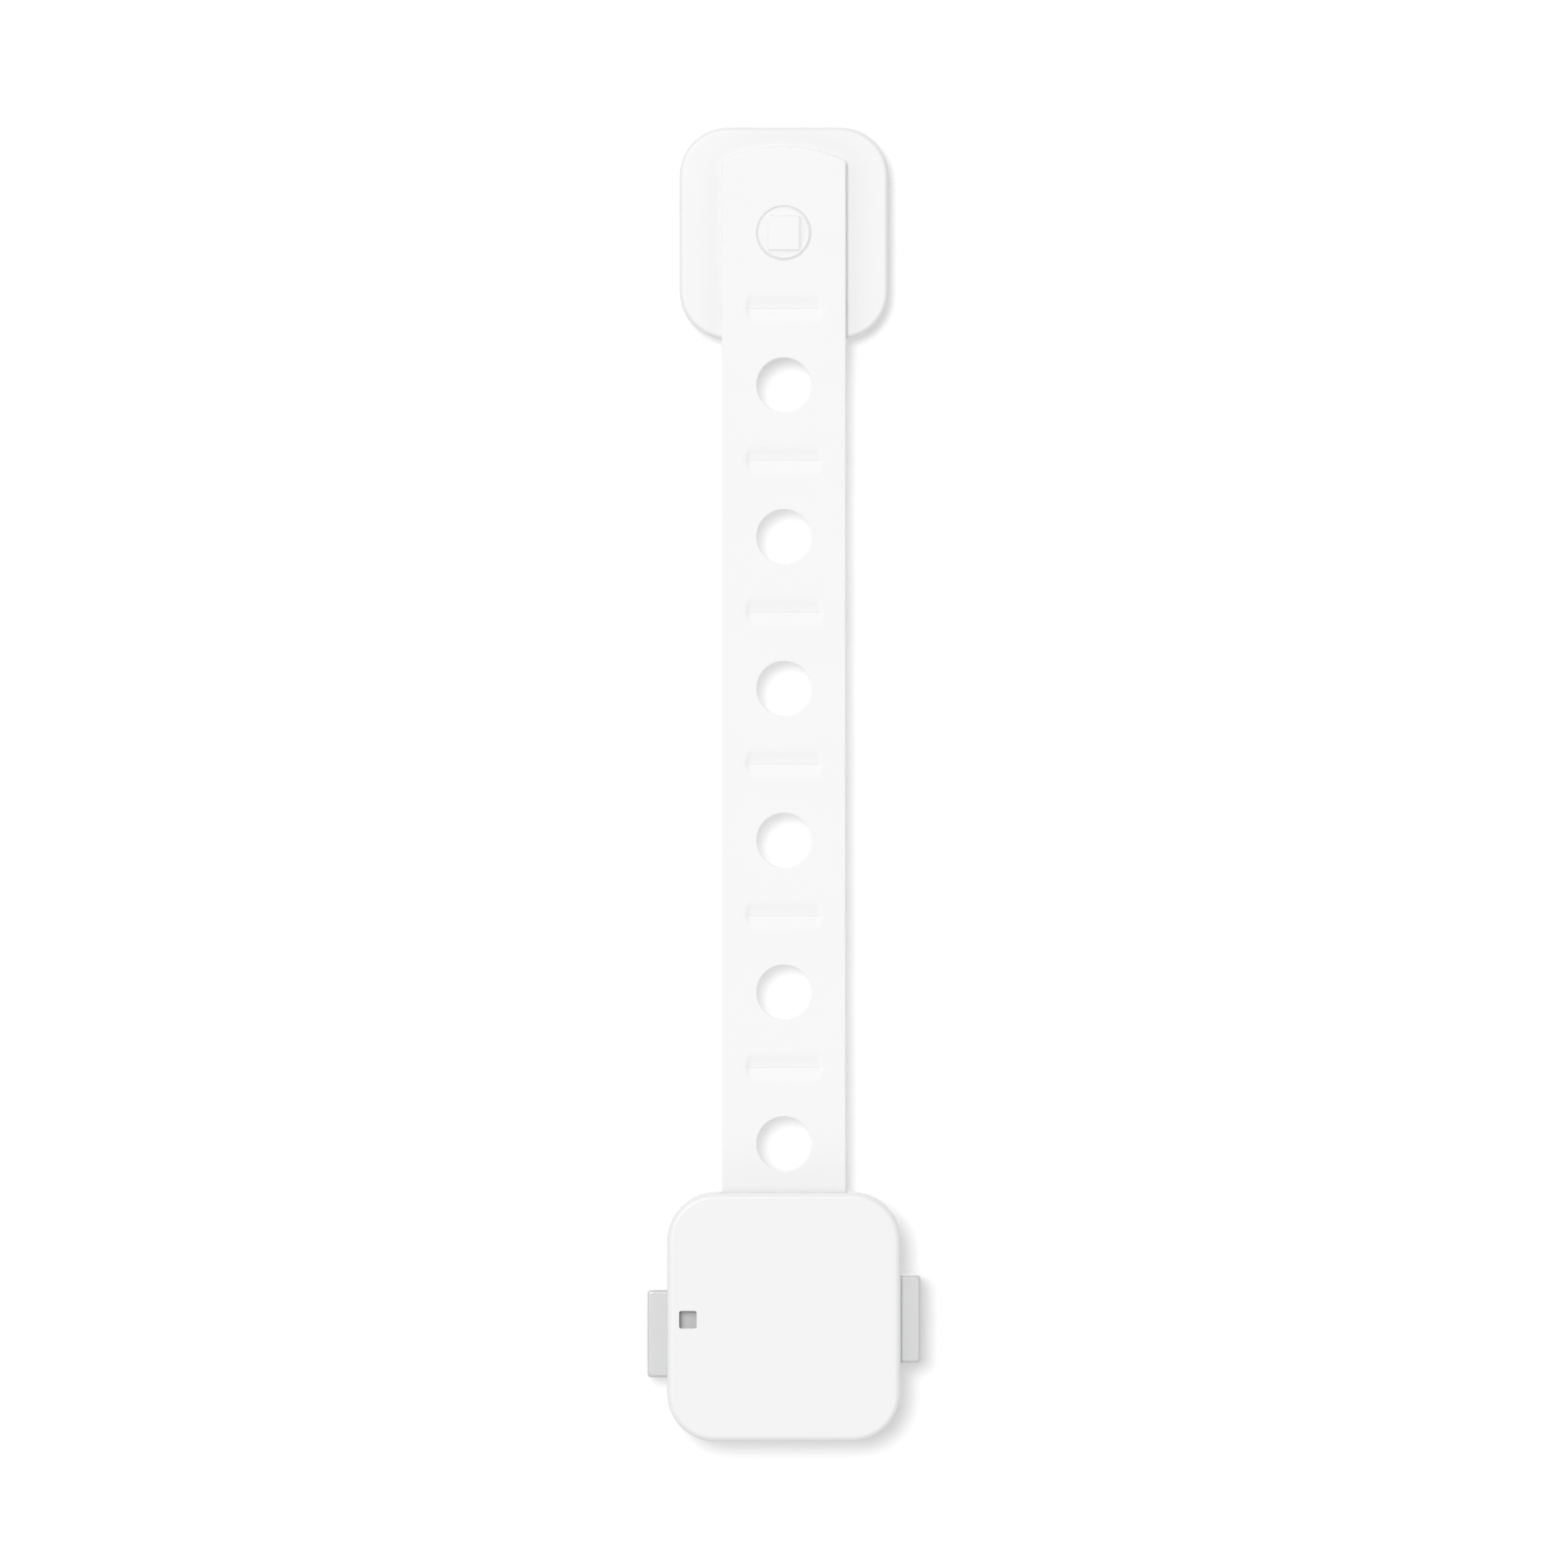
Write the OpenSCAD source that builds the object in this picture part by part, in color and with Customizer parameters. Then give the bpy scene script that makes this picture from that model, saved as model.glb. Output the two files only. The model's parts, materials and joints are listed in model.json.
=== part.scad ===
// Adhesive strap lock for windows, doors and cupboards.
// A flat latch is stuck to one panel and a small anchor plate to the other.
// A perforated strap joins them. Its tongue is held in the latch by two catches,
// one on each side button, and both buttons are squeezed to let it out.
//
// Origin: middle of the latch's adhesive face. +Y runs along the strap to the anchor,
// +Z points away from the panel, and both adhesive faces lie on Z = 0.

/* [Latch housing] */
// Width of the latch housing, across the strap
latch_w = 39.1; // [38.5:0.1:42]
// Length of the latch housing, along the strap
latch_l = 41.6; // [41:0.1:46]
// Height of the latch housing above the panel
latch_h = 9.8; // [9.6:0.1:11]
// Corner radius of the latch housing, seen from above
latch_corner_r = 8.1; // [7:0.1:9]
// Thickness of the latch housing's side walls
latch_wall = 1.7; // [1.4:0.1:1.8]
// Thickness of the latch housing's top
latch_roof = 1.6; // [1.2:0.1:1.6]
// Thickness of the latch's bottom plate
latch_floor = 1.6; // [1.2:0.1:1.6]
// Side of the small square window in the latch housing's top
window_side = 2.9; // [2:0.1:2.9]

/* [Buttons] */
// How far each button stands out of the housing
button_proud = 3.3; // [3:0.1:4]
// Length of each button along the strap's direction
button_l = 14.6; // [12:0.1:15]
// Travel of each button when it is squeezed
button_travel = 2.5; // [2:0.1:2.6]
// Centre of the left button, measured from the housing's middle
left_button_y = -2.8; // [-3.2:0.1:-2.4]
// Centre of the right button, measured from the housing's middle
right_button_y = -0.35; // [-0.8:0.05:0]
// Turns of each return spring
spring_turns = 4.5; // [3.5:0.5:4.5]

/* [Strap] */
// Width of the strap
strap_w = 20.8; // [20:0.1:21]
// Thickness of the strap
strap_t = 1.6; // [1.4:0.1:1.6]
// Distance from one strap hole to the next
hole_pitch = 25.4; // [24:0.1:28]
// Radius of each strap hole
hole_r = 4.55; // [4.5:0.05:5]
// Distance from the housing's middle to the first strap hole
first_hole_y = 28.9; // [28.5:0.1:30]
// Distance from the last hole's centre to the strap's tip
strap_tip = 14.5; // [14:0.1:16]
// Radius of the arc that rounds the strap's tip
strap_tip_r = 24; // [16:0.5:40]

/* [Anchor] */
// Width of the anchor plate, across the strap
anchor_w = 35; // [34:0.1:38]
// Length of the anchor plate, along the strap
anchor_l = 35.5; // [34:0.1:38]
// Corner radius of the anchor plate, seen from above
anchor_corner_r = 8.1; // [7:0.1:9]
// Side of the square opening that takes the peg's shank
socket_side = 6; // [5.8:0.1:6.2]

/* [Adhesive pads] */
// Side of each square adhesive pad
pad_side = 30.7; // [28:0.1:30.7]
// Thickness of each adhesive pad
pad_t = 1; // [0.8:0.1:1]

/* [Hidden] */
$fn = 64;

shell_white = [0.95, 0.95, 0.94];
strap_white = [0.93, 0.93, 0.92];
button_grey = [0.72, 0.74, 0.77];
pad_grey = [0.85, 0.85, 0.86];
catch_white = [0.88, 0.88, 0.84];
steel = [0.62, 0.63, 0.65];

eps = 0.01;                             // overrun of a cutter past the face it cuts
holes = 7;                              // holes in the strap; the last one holds the peg

// Levels above the panel
rim_z = 0.6;                            // lower rim of housing and anchor plate
floor_z = pad_t + latch_floor;          // top of the latch's bottom plate
roof_z = latch_h - latch_roof;          // underside of the latch's top
anchor_top = 4.35;                      // top of the anchor plate
strap_z = anchor_top + 0.05;            // underside of the strap
strap_top = strap_z + strap_t;
pivot_z = strap_z + strap_t / 2;        // middle of the strap's thickness

// Latch interior
chamfer = 0.5;                          // broken top edge of housing and plate
window_at = [-16.05, -0.4];             // centre of the window, over the left flange
cavity_w = latch_w - 2 * latch_wall;
cavity_l = latch_l - 2 * latch_wall;
cavity_r = latch_corner_r - latch_wall;
fit_gap = 0.1;                          // gap around the bottom plate
mouth_w = strap_w + 0.6;
mouth_top = strap_top + 0.9;
post_at = [13.9, 15.3];                 // the four posts that join cover and base
post_r = 1.25;
boss_r = 2.4;
rib_at = [9, 4];                        // middle of the right rib under the top
rib_size = [1, 26];
runner_at = [8.8, 12.5];                // middle of the right runner under the tongue
runner_size = [1, 13, 0.3];
rail_in = strap_w / 2 + 0.15;           // inner face of the guide rails
rail_t = 1.3;
rail_out = rail_in + rail_t;
rail_from = -9.5;
rail_to = 12.4;
rail_top = 7.6;
guide_from = 12.4;                      // blocks that guide the ends of the buttons' flanges
guide_to = 17.5;
guide_t = 1.2;
guide_top = 6.5;

// Buttons: measured from the housing's middle outwards
flange_in = rail_out + button_travel + 0.1; // inner face; stops short of the rail
flange_out = cavity_w / 2 - 0.15;       // its outer face, at rest against the wall
flange_over = 1;                        // how far the flange overlaps the wall
button_low = floor_z + 0.25;
button_high = roof_z - 0.25;
flange_high = button_high - 0.75;       // leaves room over the flange, seen in the window
button_play = 0.15;
button_out = latch_w / 2 + button_proud;
button_corner_r = 1;
spring_z = 5.35;
spring_r = 1.15;
wire_r = 0.2;
stub_r = 0.8;                           // peg on the rail that keeps the coil in place
stub_l = 1;
pocket_r = spring_r + wire_r + 0.15;
pocket_end = 17;
spring_l = pocket_end - rail_out;

// Catches
catch_low = floor_z + 0.1;
catch_t = 1;
catch_half = 2.2;                       // half width of the catch's arm
catch_root = 16.6;                      // outer end of the arm, inside the button
hook_in = 2.8;                          // inner face of the hook's post
hook_out = 4.8;                         // outer face of the hook's post
tooth_out = 6.4;                        // point of the hook's tooth
hook_top = 6.3;

// Strap tongue: a fork whose prongs pass outside the two hooks
prong_in = 5;
prong_out = strap_w / 2 - 0.1;
prong_z = 4.1;
prong_tip = -9;
notch_depth = 1.6;
bar_from = 3;
bar_to = 5;
lap_to = 16;
lap_half = 8;
lap_z = 3;
rivet_x = 5.5;
rivet_y = 11;
rivet_r = 1.38;
rivet_hole_r = 1.4;
rivet_head = [2.2, 0.45];               // radius and height of the head on top
rivet_washer = [2, 0.25];               // radius and height of the closed end below

// Strap bends: one at the housing's mouth and one halfway between every two holes
function hole_y(k) = first_hole_y + (k - 1) * hole_pitch;
function bend_y(k) = k == 1 ? latch_l / 2 + 1.6 : hole_y(k - 1) + hole_pitch / 2;
knuckle_r = strap_t / 2;
knuckle_gap = 0.06;

// Anchor
anchor_y = hole_y(holes);
pad_corner_r = 5.5;
seat_r = hole_r + 0.07;                 // shallow round seat for the peg's collar
seat_depth = 0.2;
finger_w = 2.75;                        // springy finger in the square opening
finger_tip = 0.26;
finger_t = 1;
collar_r = hole_r - 0.07;               // the collar fills the strap's hole
collar_top = strap_top - 0.35;
head_r = hole_r - 0.37;                 // the head leaves a narrow ring round it
head_top = strap_top + 0.1;
key_size = [5.6, 6.0];                  // raised square that shows which way the shank lies
key_t = 0.15;
shank_side = socket_side - 0.2;
shank_low = 1.3;
slot_from = 0.45;                       // inner end of the finger's slot in the shank

// ---- Shared shapes ----

// Rectangle with round corners, centred on the origin
module rounded_outline(w, l, r) {
    square([w - 2 * r, l], center = true);
    square([w, l - 2 * r], center = true);
    for (sx = [-1, 1], sy = [-1, 1])
        translate([sx * (w / 2 - r), sy * (l / 2 - r)]) circle(r = r);
}

// Upright block on that outline, with its top edge broken by a chamfer
module chamfered_block(w, l, r, h, c) {
    linear_extrude(h - c) rounded_outline(w, l, r);
    rotate([90, 0, 0]) linear_extrude(l - 2 * r, center = true)
        polygon([[-w / 2, h - c], [w / 2, h - c], [w / 2 - c, h], [c - w / 2, h]]);
    rotate([90, 0, 90]) linear_extrude(w - 2 * r, center = true)
        polygon([[-l / 2, h - c], [l / 2, h - c], [l / 2 - c, h], [c - l / 2, h]]);
    for (sx = [-1, 1], sy = [-1, 1])
        translate([sx * (w / 2 - r), sy * (l / 2 - r), h - c])
            cylinder(h = c, r1 = r, r2 = r - c);
}

// Box given by its lowest and highest corners
module span(low, high) {
    translate(low) cube(high - low);
}

// Square foam pad with round corners
module adhesive_pad() {
    color(pad_grey) linear_extrude(pad_t)
        rounded_outline(pad_side, pad_side, pad_corner_r);
}

// ---- Latch ----

module latch_cover() {
    color(shell_white) {
        difference() {
            translate([0, 0, rim_z])
                chamfered_block(latch_w, latch_l, latch_corner_r, latch_h - rim_z, chamfer);
            translate([0, 0, rim_z - eps]) linear_extrude(roof_z - rim_z + eps)
                rounded_outline(cavity_w, cavity_l, cavity_r);
            // mouth for the strap
            span([-mouth_w / 2, latch_l / 2 - latch_wall - 1, floor_z],
                 [mouth_w / 2, latch_l / 2 + 1, mouth_top]);
            // openings for the two buttons
            button_opening(-1, left_button_y);
            button_opening(1, right_button_y);
            // small square window over the left button's flange
            translate([window_at.x, window_at.y, roof_z - 1])
                linear_extrude(latch_roof + 2) square(window_side, center = true);
        }
        cover_bosses();
        cover_ribs();
    }
}

module button_opening(side, y) {
    half = button_l / 2 + button_play;
    inner = cavity_w / 2 - 1;
    outer = latch_w / 2 + 1;
    span([side < 0 ? -outer : inner, y - half, floor_z + 0.1],
         [side < 0 ? -inner : outer, y + half, roof_z]);
}

// Sockets under the top for the bottom plate's posts
module cover_bosses() {
    for (sx = [-1, 1], sy = [-1, 1])
        translate([sx * post_at.x, sy * post_at.y, floor_z + 0.1]) difference() {
            cylinder(h = roof_z - floor_z, r = boss_r);
            translate([0, 0, -eps]) cylinder(h = rail_top - floor_z, r = post_r + 0.05);
        }
}

// Two ribs that hold the strap's tongue down
module cover_ribs() {
    for (side = [-1, 1])
        translate([side * rib_at.x, rib_at.y, (mouth_top + roof_z + 0.1) / 2])
            cube([rib_size.x, rib_size.y, roof_z - mouth_top + 0.1], center = true);
}

module latch_base() {
    color(shell_white) {
        translate([0, 0, pad_t]) linear_extrude(latch_floor)
            rounded_outline(cavity_w - 2 * fit_gap, cavity_l - 2 * fit_gap, cavity_r - fit_gap);
        for (sx = [-1, 1], sy = [-1, 1])
            translate([sx * post_at.x, sy * post_at.y, floor_z - eps])
                cylinder(h = rail_top - floor_z - 0.2, r = post_r);
        guide_rail(-1, left_button_y);
        guide_rail(1, right_button_y);
        button_guides(-1, left_button_y);
        button_guides(1, right_button_y);
        // low runners under the tongue
        for (side = [-1, 1])
            translate([side * runner_at.x, runner_at.y, floor_z + runner_size.z / 2 - eps])
                cube(runner_size, center = true);
    }
}

// Upright rail beside the tongue: the spring's seat, with a gap under it for the catch
module guide_rail(side, y) {
    mid = side * (rail_in + rail_t / 2);
    difference() {
        translate([mid, (rail_from + rail_to) / 2, (floor_z + rail_top) / 2 - eps])
            cube([rail_t, rail_to - rail_from, rail_top - floor_z], center = true);
        translate([mid, y, catch_low + catch_t / 2])
            cube([rail_t + 1, 2 * catch_half + 0.4, catch_t + 0.4], center = true);
    }
    translate([side * (rail_out - eps), y, spring_z]) rotate([0, side * 90, 0])
        cylinder(h = stub_l, r = stub_r);
}

// Two blocks that guide the ends of a button's flange
module button_guides(side, y) {
    away = button_l / 2 + flange_over + button_play + guide_t / 2;
    for (end = [-1, 1])
        translate([side * (guide_from + guide_to) / 2, y + end * away,
                   (floor_z + guide_top) / 2 - eps])
            cube([guide_to - guide_from, guide_t, guide_top - floor_z], center = true);
}

module latch_adhesive() {
    adhesive_pad();
}

// ---- Buttons, catches and springs ----

// One button: finger pad outside, flange inside, pocket for the spring
module side_button(side, y) {
    pad_len = button_out - flange_out + eps;
    color(button_grey) difference() {
        union() {
            translate([side * (flange_in + flange_out) / 2, y, (button_low + flange_high) / 2])
                cube([flange_out - flange_in, button_l + 2 * flange_over,
                      flange_high - button_low], center = true);
            translate([0, y, button_low]) linear_extrude(button_high - button_low)
                finger_pad_outline(side, pad_len);
        }
        translate([side * (flange_in - eps), y, spring_z]) rotate([0, side * 90, 0])
            cylinder(h = pocket_end - flange_in + eps, r = pocket_r);
        // slot that holds the catch's root
        translate([side * (flange_in + catch_root) / 2, y, catch_low + catch_t / 2])
            cube([catch_root - flange_in + eps, 2 * catch_half, catch_t], center = true);
    }
}

// Finger pad seen from above, with its two outer corners rounded
module finger_pad_outline(side, pad_len) {
    half = button_l / 2;
    r = button_corner_r;
    translate([side * (button_out - pad_len / 2), 0]) {
        translate([side * -r / 2, 0]) square([pad_len - r, 2 * half], center = true);
        square([pad_len, 2 * (half - r)], center = true);
        for (end = [-1, 1])
            translate([side * (pad_len / 2 - r), end * (half - r)]) circle(r = r);
    }
}

module left_button() {
    side_button(-1, left_button_y);
}

module right_button() {
    side_button(1, right_button_y);
}

// One catch: flat arm under the prong, post between the prongs, tooth in the notch
module side_catch(side, y) {
    arm_len = catch_root - hook_in;
    color(catch_white) translate([0, y, 0]) {
        translate([side * (catch_root + hook_in) / 2, 0, catch_low + catch_t / 2])
            cube([arm_len, 2 * catch_half, catch_t], center = true);
        translate([side * (hook_in + hook_out) / 2, 0, (catch_low + hook_top) / 2])
            cube([hook_out - hook_in, 2 * catch_half, hook_top - catch_low], center = true);
        translate([side * (hook_out + tooth_out) / 2, 0, (prong_z + 0.2 + hook_top) / 2])
            cube([tooth_out - hook_out + eps, 2 * catch_half, hook_top - prong_z - 0.2],
                 center = true);
    }
}

module left_catch() {
    side_catch(-1, left_button_y);
}

module right_catch() {
    side_catch(1, right_button_y);
}

// Cross-section of a coil on a flat plane. Twisted up one pitch a turn, it makes a round wire.
function coil_section(steps, pitch) = [
    for (i = [0 : steps - 1])
        let (t = 360 * i / steps,
             turn = 360 * wire_r * cos(t) / pitch,
             r = spring_r + wire_r * sin(t))
        [r * cos(turn), r * sin(turn)]
];

module coil_spring(side, y) {
    pitch = spring_l / spring_turns;
    color(steel) translate([side * rail_out, y, spring_z]) rotate([0, side * 90, 0])
        linear_extrude(spring_l, twist = -360 * spring_turns, slices = 18 * spring_turns, $fn = 10)
            polygon(coil_section(10, pitch));
}

module left_spring() {
    coil_spring(-1, left_button_y);
}

module right_spring() {
    coil_spring(1, right_button_y);
}

// ---- Strap ----

// Fork-shaped tongue with a lap under the strap's end
module strap_tongue() {
    color(catch_white) difference() {
        union() {
            for (side = [-1, 1]) translate([0, 0, prong_z])
                linear_extrude(strap_top - prong_z) prong_outline(side);
            span([-prong_out, bar_from, lap_z], [prong_out, bar_to, strap_top]);
            span([-lap_half, bar_to - 1, lap_z], [lap_half, lap_to, strap_z]);
        }
        for (side = [-1, 1])
            translate([side * rivet_x, rivet_y, lap_z - 1])
                cylinder(h = strap_z - lap_z + 2, r = rivet_hole_r);
    }
}

// Prong seen from above: notch for the tooth on its inner edge, and a bevelled tip
module prong_outline(side) {
    y = side < 0 ? left_button_y : right_button_y;
    half = catch_half + 0.15;
    bottom = prong_in + notch_depth;
    tip = 2;
    points = [
        [prong_in, bar_from + 1], [prong_in, y + half], [bottom, y + half],
        [bottom, y - half], [prong_in, y - half], [prong_in, prong_tip + tip],
        [prong_in + tip, prong_tip], [prong_out - 0.5, prong_tip],
        [prong_out, prong_tip + 0.5], [prong_out, bar_from + 1]
    ];
    polygon([for (p = points) [side * p.x, p.y]]);
}

// Two rivets through the strap and the tongue's lap
module tongue_rivets() {
    color(steel) for (side = [-1, 1]) translate([side * rivet_x, rivet_y, 0]) {
        translate([0, 0, lap_z - rivet_washer[1]]) {
            cylinder(h = strap_top - lap_z + rivet_washer[1] + rivet_head[1], r = rivet_r);
            cylinder(h = rivet_washer[1], r = rivet_washer[0]);
        }
        translate([0, 0, strap_top]) cylinder(h = rivet_head[1], r = rivet_head[0]);
    }
}

// Side view of a strap length, from one bend to the next.
// The far end is a round knuckle on its bend; the near end is hollowed to turn on the last one.
module strap_profile(from, to, hollow, knuckle) {
    difference() {
        union() {
            translate([from, -strap_t / 2]) square([to - from, strap_t]);
            if (knuckle) translate([to, 0]) circle(r = knuckle_r);
        }
        if (hollow) translate([from, 0]) circle(r = knuckle_r + knuckle_gap);
    }
}

module strap_length(from, to, hollow, knuckle) {
    translate([0, 0, pivot_z]) rotate([90, 0, 90])
        linear_extrude(strap_w, center = true)
            strap_profile(from, to, hollow, knuckle);
}

// Part of the strap that is held by the tongue
module strap_root() {
    color(strap_white) difference() {
        strap_length(bar_to + 0.2, bend_y(1), false, true);
        for (side = [-1, 1])
            translate([side * rivet_x, rivet_y, strap_z - 1])
                cylinder(h = strap_t + 2, r = rivet_hole_r);
    }
}

// Length of strap around hole number k
module strap_section(k) {
    last = k == holes;
    to = last ? hole_y(k) + strap_tip : bend_y(k + 1);
    color(strap_white) difference() {
        intersection() {
            strap_length(bend_y(k), to, true, !last);
            if (last) translate([0, to - strap_tip_r, strap_z - 1]) {
                linear_extrude(strap_t + 2) {
                    circle(r = strap_tip_r, $fn = 128);
                    translate([0, -strap_tip_r / 2])
                        square([2 * strap_tip_r, strap_tip_r], center = true);
                }
            }
        }
        translate([0, hole_y(k), strap_z - 1]) cylinder(h = strap_t + 2, r = hole_r);
    }
}

module strap_section_1() { strap_section(1); }
module strap_section_2() { strap_section(2); }
module strap_section_3() { strap_section(3); }
module strap_section_4() { strap_section(4); }
module strap_section_5() { strap_section(5); }
module strap_section_6() { strap_section(6); }
module strap_section_7() { strap_section(7); }

// ---- Anchor ----

module anchor_plate() {
    color(shell_white) translate([0, anchor_y, 0]) {
        difference() {
            translate([0, 0, rim_z])
                chamfered_block(anchor_w, anchor_l, anchor_corner_r,
                                anchor_top - rim_z, chamfer);
            // recess for the adhesive pad
            translate([0, 0, rim_z - eps]) linear_extrude(pad_t - rim_z + eps)
                rounded_outline(pad_side + 0.4, pad_side + 0.4, pad_corner_r + 0.2);
            translate([0, 0, anchor_top - seat_depth])
                cylinder(h = 1, r = seat_r);
            translate([0, 0, (pad_t + anchor_top) / 2])
                cube([socket_side, socket_side, anchor_top], center = true);
        }
        // springy finger that keeps the peg in
        span([finger_tip, -finger_w / 2, anchor_top - seat_depth - finger_t],
             [socket_side / 2 + 0.5, finger_w / 2, anchor_top - seat_depth]);
    }
}

// Peg: round collar and head in the strap's hole, square shank in the plate
module anchor_peg() {
    foot_z = anchor_top - seat_depth;
    half = shank_side / 2;
    slot_half = finger_w / 2 + 0.1;
    color(shell_white) translate([0, anchor_y, 0]) difference() {
        union() {
            translate([0, 0, foot_z]) cylinder(h = collar_top - foot_z, r = collar_r);
            translate([0, 0, foot_z]) cylinder(h = head_top - foot_z, r = head_r);
            translate([0, 0, (head_top + key_t) / 2 + foot_z / 2])
                cube([key_size.x, key_size.y, head_top + key_t - foot_z], center = true);
            span([-half, -half, shank_low], [half, half, foot_z + eps]);
        }
        // way in for the finger, and the notch that its tip snaps into
        span([slot_from, -slot_half, shank_low - 1], [half + 1, slot_half, foot_z]);
        span([finger_tip - 0.1, -slot_half, foot_z - finger_t - 0.1],
             [half + 1, slot_half, foot_z]);
    }
}

module anchor_adhesive() {
    translate([0, anchor_y, 0]) adhesive_pad();
}

latch_cover();
latch_base();
latch_adhesive();
left_button();
right_button();
left_catch();
right_catch();
left_spring();
right_spring();
strap_tongue();
tongue_rivets();
strap_root();
strap_section_1();
strap_section_2();
strap_section_3();
strap_section_4();
strap_section_5();
strap_section_6();
strap_section_7();
anchor_plate();
anchor_peg();
anchor_adhesive();
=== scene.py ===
"""Looks for the adhesive strap lock.

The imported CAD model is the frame. Shells, buttons, pads, peg, strap, springs and rivets are
built here as fine meshes around it, in millimetres, and scaled to metres at the end.
The base, catches and tongue keep their CAD shapes, with their edges softened.
"""

import json
import math

import bmesh
import bpy
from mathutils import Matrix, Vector


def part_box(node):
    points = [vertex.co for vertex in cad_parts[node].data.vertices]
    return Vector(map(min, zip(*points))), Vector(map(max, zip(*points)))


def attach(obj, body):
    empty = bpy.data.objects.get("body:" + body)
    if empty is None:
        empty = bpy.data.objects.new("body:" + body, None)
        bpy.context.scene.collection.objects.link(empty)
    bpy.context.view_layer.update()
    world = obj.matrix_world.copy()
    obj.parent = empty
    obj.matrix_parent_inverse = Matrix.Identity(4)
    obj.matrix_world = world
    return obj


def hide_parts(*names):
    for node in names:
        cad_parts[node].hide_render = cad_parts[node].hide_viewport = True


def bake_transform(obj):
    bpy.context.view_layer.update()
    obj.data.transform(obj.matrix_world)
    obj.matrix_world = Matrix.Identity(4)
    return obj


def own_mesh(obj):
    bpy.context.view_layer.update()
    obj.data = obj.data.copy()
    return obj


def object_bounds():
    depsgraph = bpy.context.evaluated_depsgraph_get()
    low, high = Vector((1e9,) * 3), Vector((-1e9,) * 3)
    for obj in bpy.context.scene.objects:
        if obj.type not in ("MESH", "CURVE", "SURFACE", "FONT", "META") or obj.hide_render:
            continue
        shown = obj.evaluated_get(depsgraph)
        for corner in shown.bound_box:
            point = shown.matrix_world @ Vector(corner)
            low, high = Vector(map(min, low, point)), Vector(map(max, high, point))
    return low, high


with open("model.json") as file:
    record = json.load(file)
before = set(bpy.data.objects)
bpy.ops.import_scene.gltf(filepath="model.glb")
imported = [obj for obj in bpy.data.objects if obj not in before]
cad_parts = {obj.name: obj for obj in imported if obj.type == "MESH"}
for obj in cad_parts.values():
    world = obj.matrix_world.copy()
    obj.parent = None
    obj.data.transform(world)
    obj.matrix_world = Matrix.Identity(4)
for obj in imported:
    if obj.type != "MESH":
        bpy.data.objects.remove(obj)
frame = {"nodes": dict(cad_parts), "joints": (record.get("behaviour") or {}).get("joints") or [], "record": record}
cad_low, cad_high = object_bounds()

MM = 0.001
ARC = 7          # segments in a fillet's quarter turn
OVER = 1         # how far a cutter reaches past the solid it cuts
WELD = 1e-4      # points closer together than this become one


# ---------------------------------------------------------------- sizes from the frame

def box_mm(node):
    """Lowest and highest corner of a CAD node, in millimetres."""
    low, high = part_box(node)
    return low / MM, high / MM


def mount(name):
    return next(m for m in frame["record"]["mounts"] if m["name"] == name)


def joint(name):
    return next(j for j in frame["joints"] if j["name"] == name)


COVER_LOW, COVER_HIGH = box_mm("latch_cover")
BASE_LOW, BASE_HIGH = box_mm("latch_base")
PLATE_LOW, PLATE_HIGH = box_mm("anchor_plate")
STRAP_LOW, STRAP_HIGH = box_mm("strap_section_1")
ROOT_Y = box_mm("strap_root")[0].y
TIP_Y = box_mm("strap_section_7")[1].y
PEG_LOW, PEG_HIGH = box_mm("anchor_peg")
PAD_LOW, PAD_HIGH = box_mm("latch_adhesive")

HOLE_R = mount("strap_hole_1")["dims"]["r_mm"]
HOLE_Y = [mount(f"strap_hole_{k}")["pos_m"][1] / MM for k in range(1, 7)]
HOLE_Y.append(joint("anchor_swivel")["pos_m"][1] / MM)
BEND_Y = [joint(f"strap_bend_{k}")["pos_m"][1] / MM for k in range(1, 8)]
ANCHOR_Y = HOLE_Y[-1]

STRAP_HALF_W = STRAP_HIGH.x
STRAP_MID_Z = (STRAP_LOW.z + STRAP_HIGH.z) / 2
STRAP_HALF_T = (STRAP_HIGH.z - STRAP_LOW.z) / 2

CORNER_R = 8.1           # corners of the latch and the anchor plate, seen from above
WALL = 1.7
ROOF_Z = COVER_HIGH.z - 1.6
COVER_EDGE, COVER_RIM = 0.9, 0.3     # fillets round the cover's top and its lower edge
WINDOW_SIDE, WINDOW_R = 2.9, 0.3
WINDOW_AT = (-16.05, -0.4)
BASE_T = 1.6
MOUTH_R = 0.4
MOUTH_PLAY = 0.3         # room beside the strap in the cover's mouth
MOUTH_RISE = 0.9         # and above it
POST_AT = (13.9, 15.3)   # the four sockets under the cover's top
BOSS_R = 2.4
BOSS_GAP = 0.1           # between the bosses and the base
SOCKET_R = 1.3
RIB_X, RIB_T, RIB_FROM, RIB_TO = 9, 1, -9, 17
SINK = 0.2               # how far a boss, rib or shank runs into the piece that carries it

FLANGE_LIP = 1.0         # how far the buttons' flanges reach past the finger pads
FLANGE_DROP = 0.75       # how far the flanges' tops lie below the finger pads'
FLANGE_R = 0.4
FLANGE_GAP = 0.15        # between a flange and the cover's wall
BUTTON_R, BUTTON_EDGE = 0.65, 0.42   # corners seen from above, and fillets
OPENING_R = 0.5
OPENING_PLAY = 0.15      # room at the ends of a finger pad in its opening
OPENING_RISE = 0.12      # and above and below it
SPRING_END = 17.0        # bottom of the springs' pockets, from the latch's middle
SPRING_PLAY = 0.15       # room round a spring in its pocket
POCKET_OPEN = 0.5        # the cutters for pocket and slot start this far off the flange's face
CATCH_T = 1.0

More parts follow.
